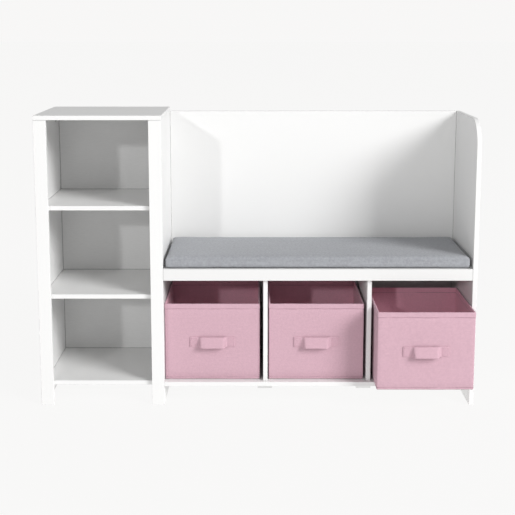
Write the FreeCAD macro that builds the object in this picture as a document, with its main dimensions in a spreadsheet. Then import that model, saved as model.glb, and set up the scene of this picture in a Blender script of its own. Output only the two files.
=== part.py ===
import FreeCAD, Part
import math
import os
import re
import Sketcher

# A white children's bookcase joined to a low bench seat, with a seat cushion and three fabric bins.
# Millimetres. X runs to the right, Y to the back and Z up. The origin lies on the floor, midway along the
# width and midway between the back and the handle of the bin that is pulled out. Places in the functions
# below are given from the left outer face, the front plane and the floor, and place() moves them there.

SIZES = {
    # the whole object
    "overall_width": 1190,
    "overall_depth": 300,
    "overall_height": 800,
    "board": 12,
    "board_edge": 1,
    # bookcase
    "case_width": 339,
    "stile_width": 34,
    "shelf_under": 54,
    "case_back": 3,
    "nail_head_room": 1,
    # bench
    "seat_top": 384,
    "rail_height": 32,
    "corner_radius": 70,
    "foot_width": 42,
    "foot_depth": 60,
    "foot_setback": 130,
    # cushion
    "cushion_height": 33,
    "cushion_depth": 279,
    "cushion_gap": 1.5,
    "cushion_corner": 6,
    "cover_cloth": 1.2,
    "foam_corner": 4.8,
    "rest_gap": 0.3,
    # fabric bins
    "bin_width": 261,
    "bin_depth": 258,
    "bin_height": 215,
    "bin_wall": 4,
    "bin_cloth": 0.8,
    "bin_corner": 3,
    "bin_setback": 22,
    "bin_pulled_out": 84,
    "first_bin_gap": 1.3,
    "second_bin_gap": 3.4,
    "third_bin_gap": 8.5,
    "insert_board": 4,
    "insert_gap": 1.5,
    # strap handles
    "strap_height": 28,
    "strap_length": 124,
    "strap": 2.4,
    "strap_tab": 23,
    "loop_slant": 5,
    "loop_reach": 19,
    # hardware
    "drill_gap": 0.1,
    "cam_radius": 6,
    "cam_depth": 9,
    "cam_distance": 24,
    "bolt_radius": 2.5,
    "bolt_in_panel": 9,
    "dowel_radius": 3,
    "dowel_in_panel": 8,
    "dowel_in_end": 16,
    "screw_radius": 2,
    "screw_length": 40,
    "screw_head_radius": 4,
    "screw_head": 3,
    "nail_radius": 0.8,
    "nail_length": 16,
    "nail_head_radius": 2,
    "nail_head": 0.7,
    "nail_first": 70,
    "nail_spacing": 140,
    "joint_front": 50,
    "joint_middle": 150,
    "joint_back": 250,
}

# Expressions used in many places, from the left outer face, the front plane and the floor.
FRONT = "(bin_pulled_out - bin_setback + loop_reach - overall_depth) / 2"
ORIGIN = ("-overall_width / 2", FRONT, "0")
CASE_REAR = "(overall_depth - case_back - nail_head_room)"
SHELF_PITCH = "((overall_height - board - shelf_under) / 3)"
BENCH_WIDTH = "(overall_width - board - case_width)"
BENCH_REAR = "(overall_depth - board)"
BAY_WIDTH = f"(({BENCH_WIDTH} - 2 * board) / 3)"
BENCH_FLOOR = "(shelf_under + board)"
SEAT_UNDER = "(seat_top - board)"
LOOP_HALF = "(strap_length / 2 - strap_tab)"
DIRECTIONS = {
    "+x": FreeCAD.Rotation(FreeCAD.Vector(0, 1, 0), 90),
    "-x": FreeCAD.Rotation(FreeCAD.Vector(0, 1, 0), -90),
    "+y": FreeCAD.Rotation(FreeCAD.Vector(1, 0, 0), -90),
    "-y": FreeCAD.Rotation(FreeCAD.Vector(1, 0, 0), 90),
    "+z": FreeCAD.Rotation(),
    "-z": FreeCAD.Rotation(FreeCAD.Vector(1, 0, 0), 180),
}
JOINT_ROWS = ("joint_front", "joint_back")

doc = FreeCAD.newDocument("KidsBookcaseBench")
blanks = {}
drills = {}
hardware = {"cam_locks": [], "cam_bolts": [], "wood_dowels": [], "back_screws": [], "back_nails": []}
nodes = []


def make_sheet():
    sheet = doc.addObject("Spreadsheet::Sheet", "Sizes")
    for row, (alias, value) in enumerate(SIZES.items(), start=1):
        sheet.set(f"A{row}", alias)
        sheet.set(f"B{row}", str(value))
        sheet.setAlias(f"B{row}", alias)
    doc.recompute()


def bound(text):
    """The expression with every size name pointed at the sheet."""
    return re.sub(r"[a-z_]+", r"Sizes.\g<0>", text)


def bind(item, name, text):
    item.setExpression(name, bound(text))


def place(item, corner):
    """Puts the item at a corner given from the left outer face, the front plane and the floor."""
    for axis, text, zero in zip("xyz", corner, ORIGIN):
        bind(item, f"Placement.Base.{axis}", f"{zero} + {text}")


def keep(item, label):
    """Makes the item a sub-part: its label is the name of the node."""
    item.Label = label
    nodes.append(item)
    return item


def box(name, corner, size):
    item = doc.addObject("Part::Box", name)
    for side, text in zip(("Length", "Width", "Height"), size):
        bind(item, side, text)
    place(item, corner)
    return item


def rod(name, start, direction, radius, length):
    item = doc.addObject("Part::Cylinder", name)
    bind(item, "Radius", radius)
    bind(item, "Height", length)
    item.Placement = FreeCAD.Placement(FreeCAD.Vector(), DIRECTIONS[direction])
    place(item, start)
    return item


def group(name, items):
    item = doc.addObject("Part::Compound", name)
    item.Links = items
    return item


def fuse(name, items):
    item = doc.addObject("Part::MultiFuse", name)
    item.Shapes = items
    return item


def cut(name, base, tool):
    item = doc.addObject("Part::Cut", name)
    item.Base = base
    item.Tool = tool
    return item


def rounded_block(name, corner, size, radius):
    """A block with all its edges rounded."""
    block = box(f"{name}_block", corner, size)
    doc.recompute()
    rounded = doc.addObject("Part::Fillet", name)
    rounded.Base = block
    edges = range(1, len(block.Shape.Edges) + 1)
    rounded.Edges = [(edge, SIZES[radius], SIZES[radius]) for edge in edges]
    return rounded


def board(label, corner, size):
    """A board with eased edges, whose holes are drilled once all its joints are known."""
    blanks[label] = rounded_block(f"{label}_blank", corner, size, "board_edge")
    drills[label] = []


def drill(label, start, direction, radius, depth):
    hole = rod(f"{label}_hole", start, direction, f"({radius} + drill_gap)", depth)
    drills[label].append(hole)


def finish_boards():
    for label, blank in blanks.items():
        if drills[label]:
            holes = group(f"{label}_holes", drills[label])
            keep(cut(f"{label}_cut", blank, holes), label)
        else:
            keep(blank, label)


# Board joints ------------------------------------------------------------------------------------------


def shifted(point, direction, distance):
    """The point moved along a direction such as -x by a distance, all as expressions."""
    sign, axis = direction
    return tuple(
        f"{text} {sign} {distance}" if name == axis else text for name, text in zip("xyz", point)
    )


def opposite(direction):
    sign = "-" if direction[0] == "+" else "+"
    return sign + direction[1]


def cam_joint(end_board, panel, meeting, into_panel, cam_side):
    """A cam bolt screwed into the panel, and the cam lock in the end board that draws it tight.

    meeting is where the bolt's axis crosses the joint, into_panel the way the bolt points into the panel,
    and cam_side the face of the end board that the cam is set into, seen from the bolt's axis.
    """
    into_board = opposite(into_panel)
    tip = shifted(meeting, into_panel, "bolt_in_panel")
    bolt = rod("cam_bolt", tip, into_board, "bolt_radius", "(bolt_in_panel + cam_distance)")
    hardware["cam_bolts"].append(bolt)
    drill(panel, tip, into_board, "bolt_radius", "bolt_in_panel")
    drill(end_board, meeting, into_board, "bolt_radius", "cam_distance")

    cam_axis = shifted(meeting, into_board, "cam_distance")
    cam_face = shifted(cam_axis, cam_side, "board / 2")
    inwards = opposite(cam_side)
    disc = rod("cam_disc", cam_face, inwards, "cam_radius", "cam_depth")
    socket = rod("cam_socket", meeting, into_board, "(bolt_radius + drill_gap)", "cam_distance")
    hardware["cam_locks"].append(cut("cam_lock", disc, socket))
    drill(end_board, cam_face, inwards, "cam_radius", "cam_depth")


def dowel_joint(end_board, panel, meeting, into_panel):
    tip = shifted(meeting, into_panel, "dowel_in_panel")
    into_board = opposite(into_panel)
    dowel = rod("wood_dowel", tip, into_board, "dowel_radius", "(dowel_in_panel + dowel_in_end)")
    hardware["wood_dowels"].append(dowel)
    drill(panel, tip, into_board, "dowel_radius", "dowel_in_panel")
    drill(end_board, meeting, into_board, "dowel_radius", "dowel_in_end")


def headed_pin(kind, head_at, direction):
    """A screw or a nail: a shank with a flat head, driven in the direction."""
    head = rod(f"{kind}_top", head_at, direction, f"{kind}_head_radius", f"{kind}_head")
    under_head = shifted(head_at, direction, f"{kind}_head")
    shank = rod(f"{kind}_shank", under_head, direction, f"{kind}_radius", f"{kind}_length")
    return fuse(kind, [head, shank]), under_head


def end_joints(end_board, panel, end_x, height, into_panel):
    """Two cams and a dowel between the end of a level board and an upright panel."""
    middle = f"{height} + board / 2"
    for depth in JOINT_ROWS:
        cam_joint(end_board, panel, (end_x, depth, middle), into_panel, "-z")
    dowel_joint(end_board, panel, (end_x, "joint_middle", middle), into_panel)


# Bookcase ----------------------------------------------------------------------------------------------


def make_bookcase():
    side_depth = f"({CASE_REAR} - board)"
    side_height = "(overall_height - board)"
    board("bookcase_top", ("0", "0", side_height), ("case_width", "overall_depth", "board"))
    board("left_side", ("0", "board", "0"), ("board", side_depth, side_height))
    board("centre_side", ("case_width - board", "board", "0"), ("board", side_depth, side_height))
    board("left_stile", ("0", "0", "0"), ("stile_width", "board", side_height))
    board("right_stile", ("case_width - stile_width", "0", "0"), ("stile_width", "board", side_height))
    back_size = ("case_width", "case_back", f"({side_height} - shelf_under)")
    blanks["bookcase_back"] = box("bookcase_back_blank", ("0", CASE_REAR, "shelf_under"), back_size)
    drills["bookcase_back"] = []
    for step, label in enumerate(("bottom_shelf", "middle_shelf", "upper_shelf")):
        under = f"shelf_under + {step} * {SHELF_PITCH}"
        board(label, ("board", "board", under), ("(case_width - 2 * board)", side_depth, "board"))
        end_joints(label, "left_side", "board", under, "-x")
        end_joints(label, "centre_side", "case_width - board", under, "+x")
        nail_back_to_shelf(label, f"{under} + board / 2")
    for panel, middle in (("left_side", "board / 2"), ("centre_side", "case_width - board / 2")):
        inside = "+x" if panel == "left_side" else "-x"
        for depth in JOINT_ROWS:
            cam_joint(panel, "bookcase_top", (middle, depth, side_height), "+z", inside)
        dowel_joint(panel, "bookcase_top", (middle, "joint_middle", side_height), "+z")
        nail_back_to_side(panel, middle)
        for part_of_height in (1, 3, 5):
            height = f"{part_of_height} * {side_height} / 6"
            stile = "left_stile" if panel == "left_side" else "right_stile"
            dowel_joint(panel, stile, (middle, "board", height), "-y")


def drive_nail(target, across, height):
    head_at = (across, f"{CASE_REAR} + case_back + nail_head", height)
    nail, under_head = headed_pin("nail", head_at, "-y")
    hardware["back_nails"].append(nail)
    drill("bookcase_back", under_head, "-y", "nail_radius", "case_back")
    drill(target, (across, CASE_REAR, height), "-y", "nail_radius", "(nail_length - case_back)")


def nail_back_to_shelf(shelf, height):
    for part_of_width in (1, 2):
        drive_nail(shelf, f"{part_of_width} * case_width / 3", height)


def nail_back_to_side(panel, across):
    for row in range(5):
        drive_nail(panel, across, f"shelf_under + nail_first + {row} * nail_spacing")


# Bench -------------------------------------------------------------------------------------------------


def divider_left_face(number):
    return f"case_width + {number} * {BAY_WIDTH} + {number - 1} * board"


def make_bench():
    board(
        "bench_back",
        ("case_width", BENCH_REAR, "shelf_under"),
        (BENCH_WIDTH, "board", "(overall_height - board - shelf_under)"),
    )
    board("seat_board", ("case_width", "board", SEAT_UNDER), (BENCH_WIDTH, f"({BENCH_REAR} - board)", "board"))
    board("seat_rail", ("case_width", "0", "seat_top - rail_height"), (BENCH_WIDTH, "board", "rail_height"))
    board("bench_bottom", ("case_width", "0", "shelf_under"), (BENCH_WIDTH, BENCH_REAR, "board"))
    make_right_side()
    for label, under in (("seat_board", SEAT_UNDER), ("bench_bottom", "shelf_under")):
        end_joints(label, "centre_side", "case_width", under, "-x")
        end_joints(label, "right_side", "overall_width - board", under, "+x")
        screw_back_to(label, under)
    for number, side in ((1, "left"), (2, "right")):
        make_divider(f"divider_{side}", f"centre_foot_{side}", divider_left_face(number))
    for part_of_width in (1, 3, 5):
        across = f"case_width + {part_of_width} * {BENCH_WIDTH} / 6"
        dowel_joint("seat_board", "seat_rail", (across, "board", f"{SEAT_UNDER} + board / 2"), "-y")


def make_right_side():
    """The end panel of the bench: a sketched outline with a round top front corner, padded along X."""
    body = doc.addObject("PartDesign::Body", "right_side_body")
    plane = next(item for item in body.Origin.OriginFeatures if item.Role == "YZ_Plane")
    sketch = body.newObject("Sketcher::SketchObject", "right_side_outline")
    sketch.AttachmentSupport = [(plane, "")]
    sketch.MapMode = "FlatFace"
    deep, high, radius = SIZES["overall_depth"], SIZES["overall_height"] - SIZES["board"], SIZES["corner_radius"]
    corners = [
        FreeCAD.Vector(0, 0, 0),
        FreeCAD.Vector(deep, 0, 0),
        FreeCAD.Vector(deep, high, 0),
        FreeCAD.Vector(radius, high, 0),
        FreeCAD.Vector(0, high - radius, 0),
    ]
    arc_middle = FreeCAD.Vector(radius, high - radius, 0)
    round_corner = Part.Circle(arc_middle, FreeCAD.Vector(0, 0, 1), radius)
    sketch.addGeometry([Part.LineSegment(a, b) for a, b in zip(corners[:3], corners[1:4])])
    sketch.addGeometry(Part.ArcOfCircle(round_corner, math.pi / 2, math.pi))
    sketch.addGeometry(Part.LineSegment(corners[4], corners[0]))
    constrain_right_side(sketch, deep, high, radius)
    pad = body.newObject("PartDesign::Pad", "right_side_pad")
    pad.Profile = sketch
    bind(pad, "Length", "board")
    doc.recompute()
    eased = body.newObject("PartDesign::Fillet", "right_side_eased")
    eased.Base = (pad, ["Face1"])
    eased.UseAllEdges = True
    bind(eased, "Radius", "board_edge")
    body.Tip = eased
    place(body, ("overall_width - board", "0", "0"))
    blanks["right_side"] = body
    drills["right_side"] = []


def constrain_right_side(sketch, deep, high, radius):
    bottom, rear, top, arc, front = range(5)
    start, end = 1, 2
    rule = Sketcher.Constraint
    sketch.addConstraint([
        rule("Coincident", bottom, start, -1, start),
        rule("Coincident", bottom, end, rear, start),
        rule("Coincident", rear, end, top, start),
        rule("Tangent", top, end, arc, start),
        rule("Tangent", arc, end, front, start),
        rule("Coincident", front, end, bottom, start),
        rule("Horizontal", bottom),
        rule("Vertical", rear),
        rule("Horizontal", top),
        rule("Vertical", front),
    ])
    for name, kind, where, value, text in (
        ("depth", "DistanceX", (bottom, start, bottom, end), deep, "overall_depth"),
        ("height", "DistanceY", (rear, start, rear, end), high, "overall_height - board"),
        ("corner", "Radius", (arc,), radius, "corner_radius"),
    ):
        index = sketch.addConstraint(rule(kind, *where, value))
        sketch.renameConstraint(index, name)
        bind(sketch, f"Constraints.{name}", text)


def make_divider(label, foot, left_face):
    middle = f"{left_face} + board / 2"
    board(
        label,
        (left_face, "board", BENCH_FLOOR),
        ("board", f"({BENCH_REAR} - board)", f"({SEAT_UNDER} - {BENCH_FLOOR})"),
    )
    for depth in JOINT_ROWS:
        dowel_joint(label, "seat_board", (middle, depth, SEAT_UNDER), "+z")
        dowel_joint(label, "bench_bottom", (middle, depth, BENCH_FLOOR), "-z")
    foot_left = f"{middle} - foot_width / 2"
    board(foot, (foot_left, "foot_setback", "0"), ("foot_width", "foot_depth", "shelf_under"))
    dowel_joint(foot, "bench_bottom", (middle, "foot_setback + foot_depth / 2", "shelf_under"), "+z")
    for part_of_height in (1, 3):
        height = f"{BENCH_FLOOR} + {part_of_height} * ({SEAT_UNDER} - {BENCH_FLOOR}) / 4"
        drive_screw(label, middle, height)


def drive_screw(target, across, height):
    head_at = (across, "overall_depth", height)
    screw, under_head = headed_pin("screw", head_at, "-y")
    hardware["back_screws"].append(screw)
    drill("bench_back", head_at, "-y", "screw_head_radius", "screw_head")
    drill("bench_back", under_head, "-y", "screw_radius", "(board - screw_head)")
    depth = "(screw_head + screw_length - board)"
    drill(target, (across, BENCH_REAR, height), "-y", "screw_radius", depth)


def screw_back_to(label, under):
    for part_of_width in (1, 3, 5):
        across = f"case_width + {part_of_width} * {BENCH_WIDTH} / 6"
        drive_screw(label, across, f"{under} + board / 2")


# Cushion -----------------------------------------------------------------------------------------------


def make_cushion():
    low = "seat_top + rest_gap"
    corner = ("case_width + cushion_gap", "0", low)
    size = (f"({BENCH_WIDTH} - 2 * cushion_gap)", "cushion_depth", "cushion_height")
    outside = rounded_block("cushion_outside", corner, size, "cushion_corner")
    inner_corner = [f"{text} + cover_cloth" for text in corner]
    inner_size = [f"({text} - 2 * cover_cloth)" for text in size]
    inside = rounded_block("cushion_inside", inner_corner, inner_size, "foam_corner")
    keep(cut("cushion_cover_cut", outside, inside), "cushion_cover")
    keep(rounded_block("cushion_foam_block", inner_corner, inner_size, "foam_corner"), "cushion_foam")


# Fabric bins -------------------------------------------------------------------------------------------


def make_bin(number, bay_left, gap, front):
    left = f"{bay_left} + {gap}"
    low = f"{BENCH_FLOOR} + rest_gap"
    make_bin_shell(number, (left, front, low))
    insert_corner = (
        f"{left} + bin_wall + insert_gap",
        f"{front} + bin_wall + insert_gap",
        f"{low} + bin_cloth + rest_gap",
    )
    across = "(bin_width - 2 * bin_wall - 2 * insert_gap)"
    deep = "(bin_depth - 2 * bin_wall - 2 * insert_gap)"
    label = f"bin_{number}_base_insert"
    keep(box(f"{label}_block", insert_corner, (across, deep, "insert_board")), label)
    make_handle(number, f"{left} + bin_width / 2", front, f"{low} + bin_height / 2")


def make_bin_shell(number, corner):
    """The folded cloth of the bin, open at the top, with a pocket in each wall that holds a stiff board."""
    left, front, low = corner
    block = box(f"bin_{number}_block", corner, ("bin_width", "bin_depth", "bin_height"))
    doc.recompute()
    outside = doc.addObject("Part::Fillet", f"bin_{number}_outside")
    outside.Base = block
    outside.Edges = [
        (index, SIZES["bin_corner"], SIZES["bin_corner"])
        for index, edge in enumerate(block.Shape.Edges, start=1)
        if abs(edge.tangentAt(edge.FirstParameter).z) > 0.9
    ]
    hollow = box(
        f"bin_{number}_hollow",
        (f"{left} + bin_wall", f"{front} + bin_wall", f"{low} + bin_cloth"),
        ("(bin_width - 2 * bin_wall)", "(bin_depth - 2 * bin_wall)", "bin_height"),
    )
    thick = "(bin_wall - 2 * bin_cloth)"
    tall = "(bin_height - 2 * bin_cloth)"
    across = "(bin_width - 2 * bin_wall)"
    deep = "(bin_depth - 2 * bin_wall)"
    in_left, in_front, in_low = f"{left} + bin_cloth", f"{front} + bin_cloth", f"{low} + bin_cloth"
    walls = (
        ((f"{left} + bin_wall", in_front, in_low), (across, thick, tall)),
        ((f"{left} + bin_wall", f"{in_front} + bin_depth - bin_wall", in_low), (across, thick, tall)),
        ((in_left, f"{front} + bin_wall", in_low), (thick, deep, tall)),
        ((f"{in_left} + bin_width - bin_wall", f"{front} + bin_wall", in_low), (thick, deep, tall)),
    )
    pockets = [box(f"bin_{number}_pocket", *wall) for wall in walls]
    tools = group(f"bin_{number}_spaces", [hollow, *pockets])
    keep(cut(f"bin_{number}_cloth", outside, tools), f"bin_{number}_fabric")
    boards = [box(f"bin_{number}_board", *wall) for wall in walls]
    keep(group(f"bin_{number}_boards", boards), f"bin_{number}_wall_boards")


def loop_wedge(name, middle, front, low, reach, inset, height):
    """A block that is widest where it meets the bin and narrows to the front by the slant of the loop."""
    wedge = doc.addObject("Part::Wedge", name)
    half = f"({LOOP_HALF} - {inset})"
    for side, text in (
        ("Xmin", f"-{half}"),
        ("Xmax", half),
        ("X2min", f"-({half} - loop_slant)"),
        ("X2max", f"{half} - loop_slant"),
        ("Ymin", "0"),
        ("Ymax", reach),
        ("Zmin", "0"),
        ("Zmax", height),
        ("Z2min", "0"),
        ("Z2max", height),
    ):
        bind(wedge, side, text)
    turned = FreeCAD.Rotation(FreeCAD.Vector(0, 0, 1), 180)
    wedge.Placement = FreeCAD.Placement(FreeCAD.Vector(), turned)
    place(wedge, (middle, front, low))
    return wedge


def make_handle(number, middle, front, height):
    """A strap sewn flat at both ends, with a loop between that stands off the bin for the fingers."""
    name = f"bin_{number}_strap"
    low = f"{height} - strap_height / 2"
    loop = loop_wedge(f"{name}_loop", middle, front, low, "loop_reach", "0", "strap_height")
    tabs = box(
        f"{name}_tabs",
        (f"{middle} - strap_length / 2", f"{front} - strap", low),
        ("strap_length", "strap", "strap_height"),
    )
    space = loop_wedge(
        f"{name}_space", middle, front, low, "(loop_reach - strap)", "strap", "strap_height"
    )
    solid = cut(f"{name}_cut", fuse(f"{name}_whole", [loop, tabs]), space)
    doc.recompute()
    rounded = doc.addObject("Part::Fillet", f"{name}_rounded")
    rounded.Base = solid
    foremost = solid.Shape.BoundBox.YMin
    rounded.Edges = [
        (index, SIZES["strap"], SIZES["strap"])
        for index, edge in enumerate(solid.Shape.Edges, start=1)
        if edge.BoundBox.ZLength > 1 and abs(edge.BoundBox.YMin - foremost) < 0.01
    ]
    keep(rounded, f"bin_{number}_handle")


def make_bins():
    pushed_in = "bin_setback"
    pulled_out = "bin_setback - bin_pulled_out"
    bays = (
        ("case_width", "first_bin_gap", pushed_in),
        (f"{divider_left_face(1)} + board", "second_bin_gap", pushed_in),
        (f"{divider_left_face(2)} + board", "third_bin_gap", pulled_out),
    )
    for number, (bay_left, gap, front) in enumerate(bays, start=1):
        make_bin(number, bay_left, gap, front)


# Checks and files --------------------------------------------------------------------------------------


def check():
    for item in doc.Objects:
        if "Invalid" in item.State or "Error" in item.State:
            raise RuntimeError(f"{item.Label} failed: {item.State}")
    for item in nodes:
        if item.Shape.isNull() or not item.Shape.isValid():
            raise RuntimeError(f"{item.Label} has no valid shape")


def write():
    os.makedirs("parts", exist_ok=True)
    for item in nodes:
        item.Shape.exportStep(f"parts/{item.Label}.step")
        print(f"{item.Label}: {len(item.Shape.Solids)} solid(s), {item.Shape.Volume / 1000:.1f} cm3")


make_sheet()
make_bookcase()
make_bench()
finish_boards()
make_cushion()
make_bins()
for kind, pieces in hardware.items():
    keep(group(f"{kind}_group", pieces), kind)
doc.recompute()
check()
write()
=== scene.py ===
import logging
import math
from dataclasses import dataclass, field, replace
from enum import Enum
from typing import Callable, Sequence

import bmesh
import bpy
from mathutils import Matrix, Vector


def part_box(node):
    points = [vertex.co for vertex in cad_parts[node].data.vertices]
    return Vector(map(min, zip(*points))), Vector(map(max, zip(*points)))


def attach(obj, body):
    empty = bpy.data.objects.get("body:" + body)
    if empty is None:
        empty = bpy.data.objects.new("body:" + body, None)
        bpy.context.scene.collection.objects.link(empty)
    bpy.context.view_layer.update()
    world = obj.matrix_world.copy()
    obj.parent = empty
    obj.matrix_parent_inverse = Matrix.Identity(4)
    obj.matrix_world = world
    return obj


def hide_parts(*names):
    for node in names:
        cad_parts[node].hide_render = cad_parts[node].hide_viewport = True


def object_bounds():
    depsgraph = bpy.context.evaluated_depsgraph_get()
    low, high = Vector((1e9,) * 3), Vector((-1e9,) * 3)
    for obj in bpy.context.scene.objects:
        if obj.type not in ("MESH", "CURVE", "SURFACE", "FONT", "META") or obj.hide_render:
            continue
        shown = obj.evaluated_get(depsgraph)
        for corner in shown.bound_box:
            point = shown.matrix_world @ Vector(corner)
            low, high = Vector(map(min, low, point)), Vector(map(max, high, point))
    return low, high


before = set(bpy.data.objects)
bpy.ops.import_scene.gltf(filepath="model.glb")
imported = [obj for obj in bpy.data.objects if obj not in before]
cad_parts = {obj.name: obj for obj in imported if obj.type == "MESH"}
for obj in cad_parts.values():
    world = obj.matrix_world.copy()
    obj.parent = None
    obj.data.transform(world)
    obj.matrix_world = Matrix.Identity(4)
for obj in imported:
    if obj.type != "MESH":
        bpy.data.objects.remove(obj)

CAD_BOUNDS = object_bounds()
LOG = logging.getLogger("kids_bookcase_bench")
MM = 0.001
TOUCH = 1e-6
LEVEL_SLOPE = 0.9
UPRIGHT_SLOPE = 0.1


# Shader writing -----------------------------------------------------------------------------------


class Signal:
    """A node's output socket that takes part in Python expressions."""

    def __init__(self, bench: "ShaderBench", socket: bpy.types.NodeSocket) -> None:
        """Keeps the socket and the bench that adds nodes behind it.

        Args:
            bench: the shader bench whose node tree holds the socket.
            socket: the output socket.
        """
        self.bench = bench
        self.socket = socket

    def _math(self, operation: str, first: "Value", second: "Value") -> "Signal":
        """Adds one Math node.

        Args:
            operation: the Math node's operation.
            first: its first value.
            second: its second value.

        Returns:
            The node's output.
        """
        return self.bench.add("ShaderNodeMath", {"operation": operation}, {0: first, 1: second})

    def __add__(self, other: "Value") -> "Signal":
        """Returns the sum."""
        return self._math("ADD", self, other)

    def __sub__(self, other: "Value") -> "Signal":
        """Returns the difference."""
        return self._math("SUBTRACT", self, other)

    def __rsub__(self, other: float) -> "Signal":
        """Returns a number minus this signal."""
        return self._math("SUBTRACT", other, self)

    def __mul__(self, other: "Value") -> "Signal":
        """Returns the product."""
        return self._math("MULTIPLY", self, other)

    def above(self, limit: float) -> "Signal":
        """Returns 1 where the signal is above the limit, and 0 elsewhere."""
        return self._math("GREATER_THAN", self, limit)

    def size(self) -> "Signal":
        """Returns the signal without its sign."""
        return self._math("ABSOLUTE", self, 0.0)

    def wave(self) -> "Signal":
        """Returns the sine of the signal."""
        return self._math("SINE", self, 0.0)

    __radd__ = __add__
    __rmul__ = __mul__


Value = Signal | float | Sequence[float]


class ShaderBench:
    """Writes one material's node tree."""

    def __init__(self, name: str) -> None:
        """Starts an empty material with a Principled shader.

        Args:
            name: the material's name.
        """
        self.material = bpy.data.materials.new(name)
        self.material.use_nodes = True
        self.tree = self.material.node_tree
        self.shader = next(n for n in self.tree.nodes if n.type == "BSDF_PRINCIPLED")
        self.place = self.add("ShaderNodeTexCoord", {}, {}, "Object")

    def add(
        self, kind: str, settings: dict[str, object], sockets: dict[int | str, Value], output: int | str = 0
    ) -> Signal:
        """Adds a node.

        Args:
            kind: the node's type.
            settings: its properties, set first.
            sockets: values or signals for its inputs, by name or index.
            output: which of its outputs to return.

        Returns:
            The output as a signal.
        """
        node = self.tree.nodes.new(kind)
        for setting, value in settings.items():
            setattr(node, setting, value)
        for key, value in sockets.items():
            self.feed(node.inputs[key], value)
        return Signal(self, node.outputs[output])

    def feed(self, socket: bpy.types.NodeSocket, value: Value) -> None:
        """Links a signal to an input socket, or sets the socket's own value.

        Args:
            socket: the input socket.
            value: the signal or the plain value.
        """
        if isinstance(value, Signal):
            self.tree.links.new(value.socket, socket)
        else:
            socket.default_value = value

    def axes(self, vector: Signal) -> tuple[Signal, Signal, Signal]:
        """Takes a vector signal apart.

        Args:
            vector: the vector.

        Returns:
            Its X, Y and Z parts.
        """
        x = self.add("ShaderNodeSeparateXYZ", {}, {0: vector}, "X")
        node = x.socket.node
        return x, Signal(self, node.outputs["Y"]), Signal(self, node.outputs["Z"])

    def stretched(self, scale: Sequence[float]) -> Signal:
        """Returns the object's coordinates, scaled along each axis."""
        return self.add("ShaderNodeMapping", {}, {"Vector": self.place, "Scale": scale})

    def noise(self, scale: float, detail: float = 2.0, stretch: Sequence[float] = (1.0, 1.0, 1.0)) -> Signal:
        """Adds a noise texture on the object's own coordinates.

        Args:
            scale: how many cells of noise there are to a metre.
            detail: how many finer layers it has.
            stretch: scale of the coordinates along each axis.

        Returns:
            The noise, from 0 to 1.
        """
        sockets = {"Vector": self.stretched(stretch), "Scale": scale, "Detail": detail}
        return self.add("ShaderNodeTexNoise", {}, sockets, 0)

    def ramp(self, signal: Signal, low: float, high: float) -> Signal:
        """Returns the signal spread so that low becomes 0 and high becomes 1, and held there."""
        sockets = {"Value": signal, "From Min": low, "From Max": high}
        return self.add("ShaderNodeMapRange", {}, sockets)

    def blend(self, factor: Value, first: Value, second: Value) -> Signal:
        """Mixes two colours.

        Args:
            factor: how much of the second colour shows.
            first: the first colour.
            second: the second colour.

        Returns:
            The mixed colour.
        """
        return self.add("ShaderNodeMix", {"data_type": "RGBA"}, {0: factor, 6: first, 7: second}, 2)

    def relief(
        self, height: Signal, depth: float, strength: float = 1.0, below: Signal | None = None
    ) -> Signal:
        """Adds a Bump node.

        Args:
            height: the relief, from 0 to 1.
            depth: how deep it is, in metres.
            strength: how much of it shows.
            below: a normal that this one lies on.

        Returns:
            The bumped normal.
        """
        sockets = {"Strength": strength, "Distance": depth, "Height": height}
        if below is not None:
            sockets["Normal"] = below
        return self.add("ShaderNodeBump", {}, sockets)

    def joints(self, face: "Plane", crossings: "Sequence[Plane]", width: float) -> Signal:
        """Marks the thin shadow lines on one face of a board, where other boards meet it.

        Args:
            face: the plane of the face that carries the lines.
            crossings: the planes of the boards that meet it.
            width: how wide the lines are.

        Returns:
            How deep in a line each place is, from 0 to 1.
        """
        axes = self.axes(self.place)
        away = 1.0
        for crossing in crossings:
            near = self.ramp((axes[crossing.axis] - crossing.place).size(), 0.35 * width, width)
            away = near * away
        on_face = 1.0 - (axes[face.axis] - face.place).size().above(0.5 * MM)
        return (1.0 - away) * on_face

    def finish(self, **sockets: Value) -> bpy.types.Material:
        """Feeds the Principled shader's sockets.

        Args:
            sockets: values or signals by the sockets' names, with underscores for spaces.

        Returns:
            The finished material.
        """
        for name, value in sockets.items():
            self.feed(self.shader.inputs[name.replace("_", " ")], value)
        return self.material


def rgba(colour: Sequence[float], level: float = 1.0) -> tuple[float, float, float, float]:
    """Returns a colour scaled by a level, with full opacity."""
    red, green, blue = (min(1.0, part * level) for part in colour)
    return red, green, blue, 1.0


# Finishes -----------------------------------------------------------------------------------------


class Axis(Enum):
    """The frame's axes, by their place in a vector."""

    X = 0
    Y = 1
    Z = 2


class Part(Enum):
    """The parts of a mesh that edit mode can select."""

    VERT = "VERT"
    EDGE = "EDGE"
    FACE = "FACE"


@dataclass(frozen=True)
class Plane:
    """A plane across one axis of the frame."""

    axis: int
    place: float

    @classmethod
    def of(cls, node: str, axis: Axis, end: int) -> "Plane":
        """Finds the plane of one of a board's faces.

        Args:
            node: the board.
            axis: the axis that the face looks along.
            end: 0 for the face at the lower end and 1 for the face at the upper end.

        Returns:
            The plane.
        """
        return cls(axis.value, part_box(node)[end][axis.value])


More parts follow.
